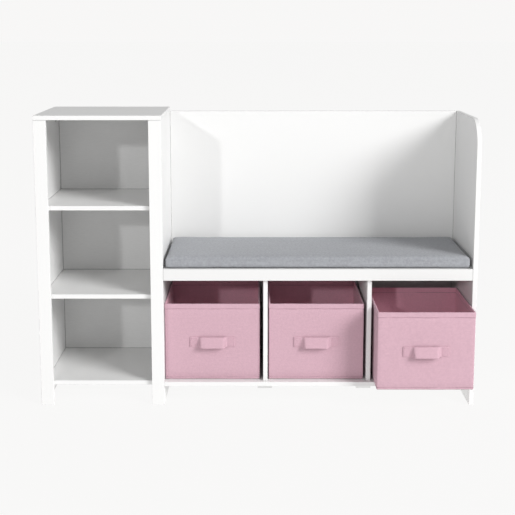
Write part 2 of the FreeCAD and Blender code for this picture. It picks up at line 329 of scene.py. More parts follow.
SHELVES = ("bottom_shelf", "middle_shelf", "upper_shelf")
SHELF_PLANES = tuple(Plane.of(node, Axis.Z, end) for node in SHELVES for end in (0, 1)) + (
    Plane.of("bookcase_top", Axis.Z, 0),
)
BOOKCASE_FRONT = Plane.of("bookcase_back", Axis.Y, 0)
LEFT_INNER = Plane.of("left_side", Axis.X, 1)
CENTRE_INNER = Plane.of("centre_side", Axis.X, 0)
CENTRE_OUTER = Plane.of("centre_side", Axis.X, 1)
RIGHT_INNER = Plane.of("right_side", Axis.X, 0)
BENCH_FRONT = Plane.of("bench_back", Axis.Y, 0)
STILE_FRONT = Plane.of("left_stile", Axis.Y, 0)
TOP_UNDERSIDE = Plane.of("bookcase_top", Axis.Z, 0)
RAIL_FRONT = Plane.of("seat_rail", Axis.Y, 0)
RAIL_ENDS = tuple(Plane.of("seat_rail", Axis.X, end) for end in (0, 1))


@dataclass(frozen=True)
class SatinPaint:
    """Sprayed satin paint on fibreboard: an even white with a faint orange peel."""

    name: str = "satin_white_paint"
    colour: tuple[float, float, float] = (0.80, 0.799, 0.794)
    unevenness: float = 0.025
    peel_pitch: float = 2.4 * MM
    peel_depth: float = 0.018 * MM
    sheen_level: float = 0.42
    face: Plane | None = None
    crossings: tuple[Plane, ...] = ()
    joint_shade_width: float = 1.8 * MM
    joint_shade_strength: float = 0.45

    def material(self) -> bpy.types.Material:
        """Builds the paint.

        Returns:
            The material.
        """
        bench = ShaderBench(self.name)
        clouds = bench.noise(2.3, 3.0)
        specks = bench.ramp(bench.noise(420.0, 1.0), 0.66, 0.80)
        pale = rgba(self.colour)
        dull = rgba(self.colour, 1.0 - self.unevenness)
        colour = bench.blend(clouds, pale, dull)
        colour = bench.blend(specks * 0.25, colour, rgba(self.colour, 0.95))
        # Painted shade: thin dark lines where other boards meet this face, for the shadow in each joint.
        if self.face:
            lines = bench.joints(self.face, self.crossings, self.joint_shade_width)
            colour = bench.blend(lines * self.joint_shade_strength, colour, rgba(self.colour, 0.1))
        peel = bench.noise(1.0 / self.peel_pitch, 1.5)
        handling = bench.noise(9.0, 4.0)
        roughness = handling * 0.16 + (self.sheen_level - 0.06)
        normal = bench.relief(peel, self.peel_depth)
        return bench.finish(Base_Color=colour, Roughness=roughness, Normal=normal, Specular_IOR_Level=0.45)


@dataclass(frozen=True)
class FoilBoard:
    """Thin hardboard faced with white foil: a fine fibre grain under a matt print."""

    name: str = "white_foil_hardboard"
    colour: tuple[float, float, float] = (0.74, 0.74, 0.737)
    fibre_depth: float = 0.02 * MM
    joint_shade_width: float = 1.8 * MM
    joint_shade_strength: float = 0.6

    def material(self) -> bpy.types.Material:
        """Builds the foil.

        Returns:
            The material.
        """
        bench = ShaderBench(self.name)
        fibres = bench.noise(60.0, 5.0, (1.0, 1.0, 7.0))
        colour = bench.blend(bench.ramp(fibres, 0.35, 0.75), rgba(self.colour), rgba(self.colour, 0.96))
        # Painted shade: thin dark lines where the sides and shelves meet the back, for the shadow in each
        # joint.
        lines = bench.joints(BOOKCASE_FRONT, (LEFT_INNER, CENTRE_INNER, *SHELF_PLANES), self.joint_shade_width)
        colour = bench.blend(lines * self.joint_shade_strength, colour, rgba(self.colour, 0.1))
        normal = bench.relief(fibres, self.fibre_depth)
        return bench.finish(Base_Color=colour, Roughness=fibres * 0.12 + 0.5, Normal=normal)


@dataclass(frozen=True)
class WovenCloth:
    """A plain weave with uneven yarns, slubs and soft lint, in one dyed colour."""

    name: str
    colour: tuple[float, float, float]
    yarn_pitch: float
    weave_depth: float
    slub_contrast: float
    fleck_contrast: float
    mottle: float
    sheen: float
    seams: tuple[float, ...] = ()
    pucker: float = 1.0 * MM

    def material(self) -> bpy.types.Material:
        """Builds the cloth, woven across whichever way each face looks.

        Returns:
            The material.
        """
        bench = ShaderBench(self.name)
        x, y, z = bench.axes(bench.place)
        normal_x, normal_y, _ = bench.axes(bench.add("ShaderNodeNewGeometry", {}, {}, "Normal"))
        side_on = normal_x.size().above(0.6)
        front_on = normal_y.size().above(0.6)
        along = side_on * y + (1.0 - side_on) * x
        upright = bench.add("ShaderNodeMath", {"operation": "MAXIMUM"}, {0: side_on, 1: front_on})
        across = upright * z + (1.0 - upright) * y

        wander = bench.noise(55.0, 2.0) * (0.9 * self.yarn_pitch)
        turn = math.pi / self.yarn_pitch
        warp = ((along + wander) * turn).wave()
        weft = ((across + wander) * turn).wave()
        weave = warp * weft * 0.5 + 0.5

        slubs_along = bench.ramp(bench.noise(30.0, 3.0, (1.0, 9.0, 26.0)), 0.52, 0.74)
        slubs_across = bench.ramp(bench.noise(30.0, 3.0, (26.0, 9.0, 1.6)), 0.54, 0.76)
        flecks = bench.ramp(bench.noise(0.45 / self.yarn_pitch, 2.0), 0.35, 0.7)
        wash = bench.ramp(bench.noise(7.0, 3.0), 0.3, 0.7)

        colour = bench.blend(weave, rgba(self.colour, 0.86), rgba(self.colour, 1.06))
        colour = bench.blend(slubs_along * self.slub_contrast, colour, rgba(self.colour, 1.35))
        colour = bench.blend(slubs_across * self.slub_contrast, colour, rgba(self.colour, 0.72))
        colour = bench.blend(flecks * self.fleck_contrast, colour, rgba(self.colour, 0.78))
        blots = bench.ramp(bench.noise(160.0, 3.0), 0.38, 0.66)
        colour = bench.blend(blots * self.mottle, colour, rgba(self.colour, 0.70))
        colour = bench.blend(wash * 0.10, colour, rgba(self.colour, 1.12))
        # Painted shade: a dark, broken line along each seam's stitch groove.
        for level in self.seams:
            line = self.stitch_groove_shade(bench, z, level)
            colour = bench.blend(line * 0.78, colour, rgba(self.colour, 0.36))

        lint = bench.noise(900.0, 2.0)
        woven = bench.relief(weave + slubs_along * 0.5, self.weave_depth, 0.8)
        normal = bench.relief(lint, 0.25 * self.weave_depth, 0.5, woven)
        return bench.finish(
            Base_Color=colour,
            Roughness=lint * 0.12 + 0.84,
            Normal=normal,
            Specular_IOR_Level=0.18,
            Sheen_Weight=self.sheen,
            Sheen_Roughness=0.5,
        )

    def stitch_groove_shade(self, bench: ShaderBench, height: Signal, level: float) -> Signal:
        """Marks the painted shade along the slightly wandering groove that a row of stitches pulls into the
        cloth.

        Args:
            bench: the bench that holds the cloth's nodes.
            height: the surface's height.
            level: the height of the stitches.

        Returns:
            How deep in the line each place is, from 0 to 1.
        """
        wander = (bench.noise(26.0, 2.0, (1.0, 1.0, 0.0)) - 0.5) * (3.0 * self.pucker)
        away = (height - level + wander).size()
        inside = 1.0 - bench.ramp(away, 0.35 * self.pucker, 1.1 * self.pucker)
        pulled = bench.ramp(bench.noise(17.0, 2.0, (1.0, 1.0, 0.0)), 0.36, 0.56)
        return inside * pulled


@dataclass(frozen=True)
class SewingThread:
    """Twisted polyester thread: fine slanting plies with a little gloss."""

    name: str
    colour: tuple[float, float, float]
    ply_pitch: float = 0.5 * MM

    def material(self) -> bpy.types.Material:
        """Builds the thread.

        Returns:
            The material.
        """
        bench = ShaderBench(self.name)
        x, y, z = bench.axes(bench.place)
        plies = ((x + y + z) * (2 * math.pi / self.ply_pitch)).wave() * 0.5 + 0.5
        colour = bench.blend(plies, rgba(self.colour, 0.8), rgba(self.colour, 1.1))
        normal = bench.relief(plies, 0.05 * MM)
        return bench.finish(Base_Color=colour, Roughness=plies * 0.1 + 0.5, Normal=normal)


@dataclass(frozen=True)
class Fitting:
    """A plated or die-cast metal fitting with fine handling marks."""

    name: str
    colour: tuple[float, float, float]
    roughness: float

    def material(self) -> bpy.types.Material:
        """Builds the metal.

        Returns:
            The material.
        """
        bench = ShaderBench(self.name)
        marks = bench.noise(700.0, 4.0, (1.0, 1.0, 6.0))
        tarnish = bench.noise(60.0, 3.0)
        colour = bench.blend(tarnish, rgba(self.colour), rgba(self.colour, 0.82))
        normal = bench.relief(marks, 0.03 * MM, 0.6)
        roughness = marks * 0.18 + (self.roughness - 0.09)
        return bench.finish(Base_Color=colour, Metallic=1.0, Roughness=roughness, Normal=normal)


@dataclass(frozen=True)
class BareBeech:
    """Turned beech: a warm pale wood with a close straight grain and short flecks."""

    name: str = "bare_beech"
    colour: tuple[float, float, float] = (0.62, 0.43, 0.26)

    def material(self) -> bpy.types.Material:
        """Builds the wood.

        Returns:
            The material.
        """
        bench = ShaderBench(self.name)
        grain = bench.noise(90.0, 5.0, (1.0, 8.0, 8.0))
        flecks = bench.ramp(bench.noise(260.0, 2.0, (1.0, 5.0, 5.0)), 0.6, 0.75)
        colour = bench.blend(grain, rgba(self.colour, 0.8), rgba(self.colour, 1.15))
        colour = bench.blend(flecks * 0.5, colour, rgba(self.colour, 0.6))
        normal = bench.relief(grain, 0.05 * MM)
        return bench.finish(Base_Color=colour, Roughness=grain * 0.2 + 0.55, Normal=normal)


@dataclass(frozen=True)
class GreyCard:
    """Stiff grey card made from pulp, with long fibres and dark specks."""

    name: str = "grey_pulp_card"
    colour: tuple[float, float, float] = (0.34, 0.32, 0.29)

    def material(self) -> bpy.types.Material:
        """Builds the card.

        Returns:
            The material.
        """
        bench = ShaderBench(self.name)
        fibres = bench.noise(180.0, 6.0, (1.0, 1.0, 3.0))
        specks = bench.ramp(bench.noise(500.0, 1.0), 0.68, 0.74)
        colour = bench.blend(fibres, rgba(self.colour, 0.85), rgba(self.colour, 1.2))
        colour = bench.blend(specks * 0.6, colour, rgba(self.colour, 0.45))
        normal = bench.relief(fibres, 0.1 * MM)
        return bench.finish(Base_Color=colour, Roughness=fibres * 0.1 + 0.85, Normal=normal)


@dataclass(frozen=True)
class OpenFoam:
    """Cut polyurethane foam: a cream colour and an open cell."""

    name: str = "open_cell_foam"
    colour: tuple[float, float, float] = (0.78, 0.72, 0.55)

    def material(self) -> bpy.types.Material:
        """Builds the foam.

        Returns:
            The material.
        """
        bench = ShaderBench(self.name)
        cells = bench.add(
            "ShaderNodeTexVoronoi", {"feature": "F1"}, {"Vector": bench.place, "Scale": 900.0}, "Distance"
        )
        colour = bench.blend(cells, rgba(self.colour, 1.05), rgba(self.colour, 0.6))
        return bench.finish(Base_Color=colour, Roughness=0.95, Normal=bench.relief(cells, 0.4 * MM))


@dataclass(frozen=True)
class StudioFloor:
    """A matt pale floor that glows a little, so that shadows on it stay light."""

    name: str = "studio_floor"
    colour: tuple[float, float, float] = (0.035, 0.035, 0.035)
    glow: float = 0.912

    def material(self) -> bpy.types.Material:
        """Builds the floor's finish.

        Returns:
            The material.
        """
        bench = ShaderBench(self.name)
        mottle = bench.noise(3.0, 2.0)
        colour = bench.blend(mottle * 0.3, rgba(self.colour), rgba(self.colour, 0.98))
        return bench.finish(
            Base_Color=colour,
            Roughness=0.95,
            Specular_IOR_Level=0.0,
            Emission_Color=(1.0, 0.996, 0.99, 1.0),
            Emission_Strength=self.glow,
        )


PINK = (0.596, 0.386, 0.452)
# The lining's pink is lighter and redder than the outside: painted light for the light that bounces round
# inside the bin.
BOUNCE_LIT_PINK = (0.800, 0.430, 0.530)
LINEN_GREY = (0.372, 0.382, 0.406)
HEM = 14.0 * MM
FOOT = 6.5 * MM
BIN_SEAMS = (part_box("bin_1_fabric")[1].z - HEM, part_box("bin_1_fabric")[0].z + FOOT)
GREY_LINEN = WovenCloth(
    name="grey_linen",
    colour=LINEN_GREY,
    yarn_pitch=0.9 * MM,
    weave_depth=0.22 * MM,
    slub_contrast=0.44,
    fleck_contrast=0.45,
    mottle=0.62,
    sheen=0.10,
)
BIN_CLOTH = WovenCloth(
    name="pink_bin_cloth",
    colour=PINK,
    yarn_pitch=0.7 * MM,
    weave_depth=0.12 * MM,
    slub_contrast=0.16,
    fleck_contrast=0.18,
    mottle=0.22,
    sheen=0.12,
    seams=BIN_SEAMS,
)
STRAP_CLOTH = WovenCloth(
    name="pink_strap_cloth",
    colour=PINK,
    yarn_pitch=0.7 * MM,
    weave_depth=0.14 * MM,
    slub_contrast=0.12,
    fleck_contrast=0.14,
    mottle=0.16,
    sheen=0.12,
)


def made(finish: object) -> bpy.types.Material:
    """Makes a palette field that builds a finish's material when the palette is made."""
    return field(default_factory=finish.material)


@dataclass(frozen=True)
class Palette:
    """Every finish on the object, built once."""

    paint: bpy.types.Material = made(SatinPaint())
    # The side, back, stile and rail copies of the paint carry painted shadow lines where other boards meet
    # them.
    side_paint: bpy.types.Material = made(
        SatinPaint("satin_white_side", face=LEFT_INNER, crossings=SHELF_PLANES)
    )
    back_paint: bpy.types.Material = made(
        SatinPaint("satin_white_back", face=BENCH_FRONT, crossings=(CENTRE_OUTER, RIGHT_INNER))
    )
    stile_paint: bpy.types.Material = made(
        SatinPaint("satin_white_stile", face=STILE_FRONT, crossings=(TOP_UNDERSIDE,))
    )
    # The rail's copy is darker all over: painted shade on the rail's front.
    shaded_rail_paint: bpy.types.Material = made(
        SatinPaint("satin_white_rail_shaded", (0.745, 0.744, 0.739), face=RAIL_FRONT, crossings=RAIL_ENDS)
    )
    foil: bpy.types.Material = made(FoilBoard())
    linen: bpy.types.Material = made(GREY_LINEN)
    bin_cloth: bpy.types.Material = made(BIN_CLOTH)
    # Lining: painted light, a lighter and redder copy of the bin cloth for the bounce inside the bin.
    bin_lining_bounce_lit: bpy.types.Material = made(replace(BIN_CLOTH, name="pink_bin_lining_bounce_lit", colour=BOUNCE_LIT_PINK))
    webbing: bpy.types.Material = made(STRAP_CLOTH)
    pink_thread: bpy.types.Material = made(SewingThread("pink_thread", (0.56, 0.31, 0.39)))
    grey_thread: bpy.types.Material = made(SewingThread("grey_thread", (0.30, 0.31, 0.33)))
    zinc: bpy.types.Material = made(Fitting("cast_zinc", (0.55, 0.55, 0.56), 0.42))
    steel: bpy.types.Material = made(Fitting("plated_steel", (0.68, 0.68, 0.7), 0.3))
    beech: bpy.types.Material = made(BareBeech())
    card: bpy.types.Material = made(GreyCard())
    foam: bpy.types.Material = made(OpenFoam())


# Modelling helpers --------------------------------------------------------------------------------


def start_alone() -> None:
    """Deselects everything, so that the next operator acts on its own piece only."""
    if bpy.context.object and bpy.context.object.mode != "OBJECT":
        bpy.ops.object.mode_set(mode="OBJECT")
    bpy.ops.object.select_all(action="DESELECT")


def take(piece: bpy.types.Object) -> None:
    """Selects one piece and nothing else.

    Args:
        piece: the piece.
    """
    start_alone()
    piece.select_set(True)
    bpy.context.view_layer.objects.active = piece


def settle(piece: bpy.types.Object) -> None:
    """Puts a piece's place, turn and scale into its mesh."""
    take(piece)
    bpy.ops.object.transform_apply(location=True, rotation=True, scale=True)


def block(name: str, low: Vector, high: Vector) -> bpy.types.Object:
    """Adds a cube and sizes it to two corners.

    Args:
        name: the piece's name.
        low: its lowest corner.
        high: its highest corner.

    Returns:
        The block, settled at the origin.
    """
    start_alone()
    bpy.ops.mesh.primitive_cube_add(size=1.0, location=(low + high) / 2)
    piece = bpy.context.object
    piece.name = name
    piece.scale = high - low
    settle(piece)
    return piece


class EditSession:
    """Edit mode on one piece, with parts picked by where they are or which way they face."""

    def __init__(self, piece: bpy.types.Object, parts: Part = Part.FACE) -> None:
        """Names the piece to edit.

        Args:
            piece: the mesh to edit.
            parts: which parts are selected at first.
        """
        self.piece = piece
        self.parts = parts

    def __enter__(self) -> "EditSession":
        """Opens edit mode with nothing picked.

        Returns:
            The session.
        """
        take(self.piece)
        bpy.ops.object.mode_set(mode="EDIT")
        bpy.ops.mesh.select_mode(type=self.parts.value)
        bpy.ops.mesh.select_all(action="DESELECT")
        return self

    def __exit__(self, *failure: object) -> None:
        """Closes edit mode."""
        bpy.ops.object.mode_set(mode="OBJECT")

    def pick(self, test: Callable[[object], bool], parts: Part | None = None) -> None:
        """Selects the parts that pass a test, and only those.

        Args:
            test: takes a bmesh vertex, edge or face.
            parts: which parts to select from now on, if that changes.
        """
        if parts and parts != self.parts:
            self.parts = parts
            bpy.ops.mesh.select_mode(type=parts.value)
        bpy.ops.mesh.select_all(action="DESELECT")
        shape = bmesh.from_edit_mesh(self.piece.data)
        shape.normal_update()
        found = {Part.VERT: shape.verts, Part.EDGE: shape.edges, Part.FACE: shape.faces}[self.parts]
        for part in found:
            if test(part):
                part.select_set(True)
        bmesh.update_edit_mesh(self.piece.data)

    def slice(self, axis: Axis, places: Sequence[float]) -> None:
        """Cuts the whole piece by planes across an axis.

        Args:
            axis: the axis.
            places: where each plane crosses the axis.
        """
        normal = Vector((0.0, 0.0, 0.0))
        normal[axis.value] = 1.0
        for place in places:
            bpy.ops.mesh.select_all(action="SELECT")
            bpy.ops.mesh.bisect(plane_co=normal * place, plane_no=normal)
        bpy.ops.mesh.select_all(action="DESELECT")


def finish_with(piece: bpy.types.Object, kind: str, **settings: object) -> None:
    """Adds a modifier to the piece and applies it.

    Args:
        piece: the piece.
        kind: the modifier's type.
        settings: its properties.
    """
    take(piece)
    bpy.ops.object.modifier_add(type=kind)
    modifier = piece.modifiers[-1]
    for name, value in settings.items():
        setattr(modifier, name, value)
    bpy.ops.object.modifier_apply(modifier=modifier.name)


def smooth(piece: bpy.types.Object, degrees: float = 40.0) -> None:
    """Shades a piece smooth except across edges sharper than an angle."""
    take(piece)
    bpy.ops.object.shade_smooth_by_angle(angle=math.radians(degrees))


def dress(piece: bpy.types.Object, material: bpy.types.Material) -> None:
    """Gives the whole piece one material."""
    piece.data.materials.clear()
    piece.data.materials.append(material)


def join(pieces: Sequence[bpy.types.Object], name: str) -> bpy.types.Object:
    """Joins pieces into one.

    Args:
        pieces: the pieces; the first one takes in the others.
        name: the joined piece's name.

    Returns:
        The joined piece.
    """
    start_alone()
    for piece in pieces:
        piece.select_set(True)
    bpy.context.view_layer.objects.active = pieces[0]
    bpy.ops.object.join()
    pieces[0].name = name
    return pieces[0]


def spaced(low: float, high: float, step: float) -> list[float]:
    """Returns places between two ends, evenly spaced about a step apart, without the ends."""
    count = max(1, round((high - low) / step))
    return [low + (high - low) * index / count for index in range(1, count)]


@dataclass(frozen=True)
class Seam:
    """A straight run of lock stitches lying on a surface."""

    start: Vector
    end: Vector
    stitch: float = 3.6 * MM
    gap: float = 1.2 * MM
    thickness: float = 0.75 * MM

    def sew(self, name: str) -> bpy.types.Object:
        """Models one stitch and repeats it along the seam.

        Args:
            name: the row's name.

        Returns:
            The row of stitches.
        """
        run = self.end - self.start
        pitch = self.stitch + self.gap
        count = max(1, round(run.length / pitch))
        step = run / count
        start_alone()
        bpy.ops.mesh.primitive_cylinder_add(
            vertices=6, radius=self.thickness / 2, depth=self.stitch, location=self.start + step / 2
        )
        row = bpy.context.object
        row.name = name
        row.rotation_mode = "QUATERNION"
        row.rotation_quaternion = run.to_track_quat("Z", "X")
        settle(row)
        along = run.normalized()
        with EditSession(row) as edit:
            edit.pick(lambda face: abs(face.normal.dot(along)) > 0.9)
            bpy.ops.mesh.inset(
                thickness=0.35 * self.thickness, depth=0.3 * self.thickness, use_individual=True
            )
        finish_with(
            row,
            "ARRAY",
            count=count,
            use_relative_offset=False,
            use_constant_offset=True,
            constant_offset_displace=step,
        )
        return row


# Furniture ----------------------------------------------------------------------------------------


@dataclass
class Carcass:
    """The bookcase and the bench: painted boards, the thin back and the fittings that join them."""

    palette: Palette
    boards: tuple[str, ...] = (
        "bookcase_top",
        "left_side",
        "centre_side",
        "left_stile",
        "right_stile",
        "bottom_shelf",
        "middle_shelf",
        "upper_shelf",
        "right_side",
        "bench_back",
        "seat_board",
        "seat_rail",
        "bench_bottom",
        "divider_left",
        "divider_right",
        "centre_foot_left",
        "centre_foot_right",
    )

    def dress_nodes(self) -> None:
        """Gives each carried-over board and fitting its finish."""
        finishes = {name: self.palette.paint for name in self.boards}
        finishes["left_side"] = self.palette.side_paint
        finishes["bench_back"] = self.palette.back_paint
        finishes["left_stile"] = finishes["right_stile"] = self.palette.stile_paint
        finishes["seat_rail"] = self.palette.shaded_rail_paint
        finishes["bookcase_back"] = self.palette.foil
        finishes["cam_locks"] = self.palette.zinc
        finishes["cam_bolts"] = self.palette.steel
        finishes["back_screws"] = self.palette.steel
        finishes["back_nails"] = self.palette.steel
        finishes["wood_dowels"] = self.palette.beech
        for name, material in finishes.items():
            dress(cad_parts[name], material)
        LOG.info("carcass: %d nodes dressed", len(finishes))


@dataclass
class SeatCushion:
    """A foam pad in a boxed linen cover, filled tight and flat underneath."""

    palette: Palette
    inset: float = 2.2 * MM
    corner: float = 5.0 * MM
    foam_margin: float = 6.0 * MM
    voxel: float = 5.0 * MM
    swell: float = 3.5 * MM
    pressure: float = 4.0
    frames: int = 20
    seam_height: float = 6.5 * MM

    def build(self) -> bpy.types.Object:
        """Models the cover, fills it and sews its seams.

        Returns:
            The cover.
        """
        low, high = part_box("cushion_cover")
        pad = self.rounded_block("cushion_linen_cover", low, high, self.inset)
        self.fill(pad, low, high)
        smooth(pad, 60.0)
        dress(pad, self.palette.linen)
        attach(pad, "cushion")
        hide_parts("cushion_cover")
        self.foam_core(low, high)
        self.sew(low, high)
        LOG.info("cushion: %d faces", len(pad.data.polygons))
        return pad

    def rounded_block(self, name: str, low: Vector, high: Vector, inset: float) -> bpy.types.Object:
        """Models a block with rounded edges, a little smaller than a box.

        Args:
            name: the piece's name.
            low: the box's lowest corner.
            high: the box's highest corner.
            inset: how much smaller the block is on each side.

        Returns:
            The block.
        """
        margin = Vector((inset, inset, inset))
        piece = block(name, low + margin, high - margin)
        with EditSession(piece, Part.EDGE) as edit:
            edit.pick(lambda edge: True)
            bpy.ops.mesh.bevel(offset=self.corner, segments=3)
        return piece

    def foam_core(self, low: Vector, high: Vector) -> None:
        """Models the foam inside, a little smaller than the cover so that it never shows through.

        Args:
            low: the cover's lowest corner.
            high: the cover's highest corner.
        """
        core = self.rounded_block("cushion_foam_core", low, high, self.foam_margin)
        smooth(core, 60.0)
        dress(core, self.palette.foam)
        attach(core, "cushion")
        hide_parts("cushion_foam")

    def fill(self, pad: bpy.types.Object, low: Vector, high: Vector) -> None:
        """Swells the cover by cloth simulation and holds it inside its place on the seat.

        Args:
            pad: the cover.
            low: the lowest corner it may reach.
            high: the highest corner it may reach.
        """
        finish_with(pad, "REMESH", mode="VOXEL", voxel_size=self.voxel, use_smooth_shade=True)
        before = [vertex.co.copy() for vertex in pad.data.vertices]
        take(pad)
        bpy.ops.object.modifier_add(type="CLOTH")
        cloth = pad.modifiers[-1]
        cloth.settings.use_pressure = True
        cloth.settings.uniform_pressure_force = self.pressure
        cloth.settings.tension_stiffness = 30.0
        cloth.settings.compression_stiffness = 30.0
        cloth.settings.bending_stiffness = 2.0
        cloth.settings.quality = 5
        cloth.settings.effector_weights.gravity = 0.0
        cloth.point_cache.frame_start = 1
        cloth.point_cache.frame_end = self.frames
        scene = bpy.context.scene
        for number in range(1, self.frames + 1):
            scene.frame_set(number)
        bpy.ops.object.modifier_apply(modifier=cloth.name)
        scene.frame_set(1)
        for vertex, start in zip(pad.data.vertices, before):
            move = vertex.co - start
            if move.length > self.swell:
                vertex.co = start + move.normalized() * self.swell
            for axis, crown in enumerate((0.0, 0.0, self.swell / 2)):
                vertex.co[axis] = min(max(vertex.co[axis], low[axis]), high[axis] + crown)
        finish_with(pad, "SUBSURF", levels=1, render_levels=1)

    def sew(self, low: Vector, high: Vector) -> None:
        """Adds the two closed seams of the boxed edge and their stitches.

        Args:
            low: the cover's lowest corner.
            high: the cover's highest corner.
        """
        rows = []
        inset = self.inset + self.corner * 0.5
        for level in (low.z + self.seam_height, high.z - self.seam_height):
            rows += self.ring_of_stitches(level, low, high, inset)
        stitches = join(rows, "cushion_edge_stitches")
        smooth(stitches)
        dress(stitches, self.palette.grey_thread)
        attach(stitches, "cushion")

    def ring_of_stitches(
        self, level: float, low: Vector, high: Vector, inset: float
    ) -> list[bpy.types.Object]:
        """Sews one row round the cushion's sides.

        Args:
            level: the height of the row.
            low: the cover's lowest corner.
            high: the cover's highest corner.
            inset: how far from the corners each side's row stops.

        Returns:
            The row's four sides.
        """
        face = 0.35 * MM
        corners = [
            (Vector((low.x + inset, low.y + face, level)), Vector((high.x - inset, low.y + face, level))),
            (Vector((low.x + inset, high.y - face, level)), Vector((high.x - inset, high.y - face, level))),
            (Vector((low.x + face, low.y + inset, level)), Vector((low.x + face, high.y - inset, level))),
            (Vector((high.x - face, low.y + inset, level)), Vector((high.x - face, high.y - inset, level))),
        ]
        return [Seam(start, end).sew("cushion_stitch_row") for start, end in corners]


# Fabric bins --------------------------------------------------------------------------------------


@dataclass
class StrapHandle:
    """A folded strap sewn flat at both ends, with a loop in the middle for the fingers."""

    number: int
    palette: Palette
    thickness: float = 2.2 * MM
    tab: float = 24.5 * MM
    slant: float = 6.0 * MM
    fold_radius: float = 4.5 * MM
    sew_margin: float = 3.2 * MM
    lean: float = 0.72

    def build(self) -> None:
        """Models the strap and the box stitches on its tabs."""
        low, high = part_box(f"bin_{self.number}_handle")
        strap = self.strap(low, high)
        smooth(strap, 50.0)
        dress(strap, self.palette.webbing)
        body = f"bin_{self.number}"
        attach(strap, body)
        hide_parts(f"bin_{self.number}_handle")
        stitches = join(self.box_stitches(low, high), f"bin_{self.number}_strap_stitches")
        smooth(stitches)
        dress(stitches, self.palette.pink_thread)
        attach(stitches, body)

    def strap(self, low: Vector, high: Vector) -> bpy.types.Object:
        """Draws the strap's centre sheet, leans the loop's top edge back and gives the sheet its thickness.

        Args:
            low: the handle's lowest corner.
            high: the handle's highest corner.

        Returns:
            The strap.
        """
        sewn_y = high.y - self.thickness / 2
        loop_y = low.y + self.thickness / 2
        steps = (
            (self.slant, loop_y - sewn_y),
            (high.x - low.x - 2 * (self.tab + self.slant), 0.0),
            (self.slant, sewn_y - loop_y),
            (self.tab, 0.0),
        )
        start_alone()
        middle = Vector((low.x + self.tab / 2, sewn_y, (low.z + high.z) / 2))
        bpy.ops.mesh.primitive_plane_add(size=1.0, location=middle, rotation=(math.pi / 2, 0.0, 0.0))
        strap = bpy.context.object
        strap.name = f"bin_{self.number}_strap"
        strap.scale = (self.tab, high.z - low.z, 1.0)
        settle(strap)
        with EditSession(strap, Part.EDGE) as edit:
            edge_x = low.x + self.tab
            for run, rise in steps:
                edit.pick(lambda edge: self.is_across(edge, [edge_x]))
                bpy.ops.mesh.extrude_region_move(TRANSFORM_OT_translate={"value": (run, rise, 0.0)})
                edge_x += run
            folds = [low.x + self.tab, low.x + self.tab + self.slant]
            folds += [high.x - self.tab - self.slant, high.x - self.tab]
            edit.pick(lambda edge: self.is_across(edge, folds))
            bpy.ops.mesh.bevel(offset=self.fold_radius, segments=5)
            bpy.ops.mesh.select_all(action="SELECT")
            bpy.ops.mesh.normals_make_consistent(inside=False)
            edit.slice(Axis.Z, spaced(low.z, high.z, 4.0 * MM))
            edit.slice(Axis.X, spaced(low.x, high.x, 5.0 * MM))
        for vertex in strap.data.vertices:
            out = (sewn_y - vertex.co.y) / (sewn_y - loop_y)
            raised = (vertex.co.z - low.z) / (high.z - low.z)
            vertex.co.y += out * raised * self.lean * (sewn_y - loop_y)
        finish_with(strap, "SOLIDIFY", thickness=self.thickness, offset=0.0)
        edge_limit = math.radians(50)
        finish_with(
            strap, "BEVEL", width=0.7 * MM, segments=2, limit_method="ANGLE", angle_limit=edge_limit
        )
        return strap

    @staticmethod
    def is_across(edge: object, places: Sequence[float]) -> bool:
        """Tells whether an edge runs across the strap at one of some places.

        Args:
            edge: the bmesh edge.
            places: the places along X.

        Returns:
            Whether it does.
        """
        return any(all(abs(vertex.co.x - place) < TOUCH for vertex in edge.verts) for place in places)

    def box_stitches(self, low: Vector, high: Vector) -> list[bpy.types.Object]:
        """Sews a square and its two diagonals on each tab.

        Args:
            low: the handle's lowest corner.
            high: the handle's highest corner.

        Returns:
            The rows of stitches.
        """
        face = high.y - self.thickness - 0.1 * MM
        rows = []
        for left in (low.x, high.x - self.tab):
            west, east = left + self.sew_margin, left + self.tab - self.sew_margin
            bottom, top = low.z + self.sew_margin, high.z - self.sew_margin
            if left == low.x:
                east -= self.sew_margin
            else:
                west += self.sew_margin
            outline = ((west, bottom), (east, bottom), (east, top), (west, top))
            corners = [Vector((x, face, z)) for x, z in outline]
            for first, second in ((0, 1), (1, 2), (2, 3), (3, 0), (0, 2), (1, 3)):
                seam = Seam(corners[first], corners[second], 2.6 * MM, 0.9 * MM, 0.6 * MM)
                rows.append(seam.sew("strap_stitch_row"))
        return rows


